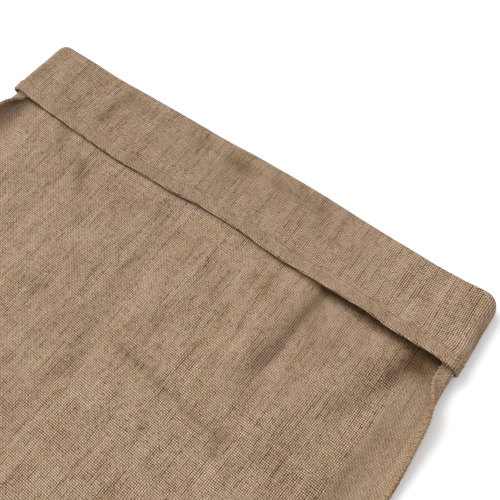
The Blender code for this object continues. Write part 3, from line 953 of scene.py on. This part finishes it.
def add_tube(bm, points, radius):
    """A closed tube through the points."""
    rings = []
    turn_from = Vector((0, 0, 1))
    for k, point in enumerate(points):
        ahead = points[min(k + 1, len(points) - 1)] - points[max(k - 1, 0)]
        ahead.normalize()
        side = ahead.cross(turn_from)
        if side.length < NEARLY_ALONG:
            side = ahead.cross(Vector((1, 0, 0)))
        side.normalize()
        turn_from = side.cross(ahead)
        ring = []
        for step in range(TUBE_SIDES):
            angle = 2 * math.pi * step / TUBE_SIDES
            out = side * math.cos(angle) + turn_from * math.sin(angle)
            ring.append(bm.verts.new(point + out * radius))
        rings.append(ring)
    for first, second in zip(rings, rings[1:]):
        for step in range(TUBE_SIDES):
            after = (step + 1) % TUBE_SIDES
            bm.faces.new((first[step], first[after], second[after], second[step]))
    bm.faces.new(rings[0][::-1])
    bm.faces.new(rings[-1])


def tubes_object(name, runs, radius, material):
    """One object with a tube through each run of points."""
    bm = bmesh.new()
    for points in runs:
        add_tube(bm, points, radius)
    bmesh.ops.recalc_face_normals(bm, faces=bm.faces)
    mesh = bpy.data.meshes.new(name)
    bm.to_mesh(mesh)
    bm.free()
    mesh.materials.append(material)
    mesh.shade_smooth()
    return link_object(name, mesh)


def above_floor(point, radius):
    """The point, raised where a thread through it would sink into the floor."""
    return Vector((point.x, point.y, max(point.z, radius)))


def side_edge(hand):
    """The surface of a side lip, as over_the_edge needs it."""
    return lambda side, s, d: lip_point(side, hand, s, d)


def bottom_edge(side, s, x):
    """The surface of the bottom lip, as over_the_edge needs it."""
    return body_point(side, x, BOTTOM - LIP + s)


def over_the_edge(surface, along, depth, lean):
    """One overcast stitch, from the back panel round the cloth's edge to the front panel.

    surface(side, s, along) gives the middle of a panel's cloth at s outside the seam and at a
    place along the edge. The stitch goes in at depth from the edge, and leans on either panel.
    """
    run = [(BACK, LIP - depth * share, along + lean * (1 - share)) for share in OVERCAST_SHARES]
    run.append((0, LIP + OVERCAST_OUT, along + lean))
    for share in reversed(OVERCAST_SHARES):
        run.append((FRONT, LIP - depth * share, along + lean * (1 + share)))
    points = []
    for k, (side, s, at) in enumerate(run):
        front, back = surface(FRONT, s, at), surface(BACK, s, at)
        middle, apart = (front + back) / 2, (front - back).normalized()
        raised = -OVERCAST_SUNK if k in (0, len(run) - 1) else OVERCAST_RAISED
        away = (front - back).length / 2 + CLOTH / 2 + raised
        points.append(above_floor(middle + apart * side * away, TWINE_RADIUS))
    return points


def overcast(rng, surface, start, end):
    """Overcast stitches along an edge, from start to end."""
    runs = []
    along = start
    while along < end:
        step = OVERCAST_PITCH * rng.uniform(*PITCH_VARIES)
        depth = OVERCAST_DEPTH * rng.uniform(*DEPTH_VARIES)
        runs.append(over_the_edge(surface, along, depth, OVERCAST_LEAN * step))
        along += step
    return runs


def side_stitches():
    rng = random.Random(SIDE_SEED)
    runs = []
    for hand in (LEFT, RIGHT):
        runs += overcast(rng, side_edge(hand), SIDE_STARTS, SIDE_ENDS)
    return runs


def bottom_stitches():
    return overcast(random.Random(BOTTOM_SEED), bottom_edge, -HALF_BODY, HALF_BODY)


def hem_stitch(side, x, long, back):
    """One running stitch on the hem's outer face, starting at x, `back` from the cuff's edge."""
    points = []
    for share in HEM_STITCH_SHARES:
        at = x + long * share
        place = hem_point(side, at, math.pi, back)
        _, out = cuff_frame(side, at, 1.0)
        rise = CLOTH / 2 - HEM_STITCH_SUNK + HEM_STITCH_BOW * math.sin(math.pi * share)
        points.append(above_floor(place + out * rise, HEM_THREAD_RADIUS))
    return points


def hem_stitches():
    """Running stitches through the hem, seen on the cuff's outer face."""
    runs = []
    rng = random.Random(HEM_SEED)
    for side in (FRONT, BACK):
        x = HEM_ROW_STARTS
        while x < HEM_ROW_ENDS:
            long = rng.uniform(*HEM_STITCH) * MM
            back = HEM - rng.uniform(*HEM_STITCH_IN) * MM
            runs.append(hem_stitch(side, x, long, back))
            x += long + rng.uniform(*HEM_STITCH_GAP) * MM
    return runs


# ---------------------------------------------------------------- camera, light and floor

def add_camera():
    data = bpy.data.cameras.new("camera")
    data.lens = CAMERA_LENS
    data.sensor_width = SENSOR
    camera = link_object("camera", data)
    level = Vector((math.cos(CAMERA_AZIMUTH), math.sin(CAMERA_AZIMUTH), 0))
    back = Vector(
        (
            math.sin(CAMERA_AZIMUTH) * math.cos(CAMERA_ELEVATION),
            -math.cos(CAMERA_AZIMUTH) * math.cos(CAMERA_ELEVATION),
            math.sin(CAMERA_ELEVATION),
        )
    )
    upright = back.cross(level)
    right = level * math.cos(CAMERA_ROLL) + upright * math.sin(CAMERA_ROLL)
    up = upright * math.cos(CAMERA_ROLL) - level * math.sin(CAMERA_ROLL)
    turn = Matrix((right, up, back)).transposed().to_4x4()
    camera.matrix_world = Matrix.Translation(CAMERA_PLACE) @ turn
    bpy.context.scene.camera = camera


def add_light():
    """An even white sky and a soft key from the left."""
    world = bpy.data.worlds.new("studio")
    world.use_nodes = True
    sky = world.node_tree.nodes["Background"]
    sky.inputs["Color"].default_value = WHITE
    sky.inputs["Strength"].default_value = SKY_SHARE
    bpy.context.scene.world = world
    data = bpy.data.lights.new("key", "SUN")
    toward = Vector(KEY_FROM).normalized()
    data.energy = KEY_SHARE * math.pi / toward.z
    data.angle = KEY_SOFTNESS
    key = link_object("key", data)
    key.rotation_euler = toward.to_track_quat("Z", "Y").to_euler()
    bpy.context.scene.view_settings.view_transform = "Standard"


def add_floor():
    material, _ = new_material("white_floor", FLOOR, FLOOR_ROUGHNESS)
    mesh = bpy.data.meshes.new("floor")
    corners = ((-1, -1), (1, -1), (1, 1), (-1, 1))
    mesh.from_pydata([(x * HALF_FLOOR, y * HALF_FLOOR, 0) for x, y in corners], [], [(0, 1, 2, 3)])
    mesh.materials.append(material)
    floor = link_object("floor", mesh)


# ---------------------------------------------------------------- putting it together

def main():
    add_camera()
    add_light()
    add_floor()
    jute = woven_jute()
    front_columns, front_rows = columns_of(FRONT_SPACING), rows_of(FRONT_ROW_SPACING)
    back_columns, back_rows = columns_of(BACK_SPACING), rows_of(BACK_ROW_SPACING)
    front = panel("front_cloth", FRONT, front_columns, front_rows, jute)
    back = panel("back_cloth", BACK, back_columns, back_rows, jute)
    seam_twine = twine("seam_twine", SEAM_TWINE)
    hem_thread = twine("hem_thread", HEM_THREAD)
    seam_runs = side_stitches() + bottom_stitches()
    seams = tubes_object("seam_stitches", seam_runs, TWINE_RADIUS, seam_twine)
    hems = tubes_object("hem_stitches", hem_stitches(), HEM_THREAD_RADIUS, hem_thread)
    for piece in (front, back, seams, hems):
        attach(piece, "root")
    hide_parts("front_panel")
    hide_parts("back_panel")


main()
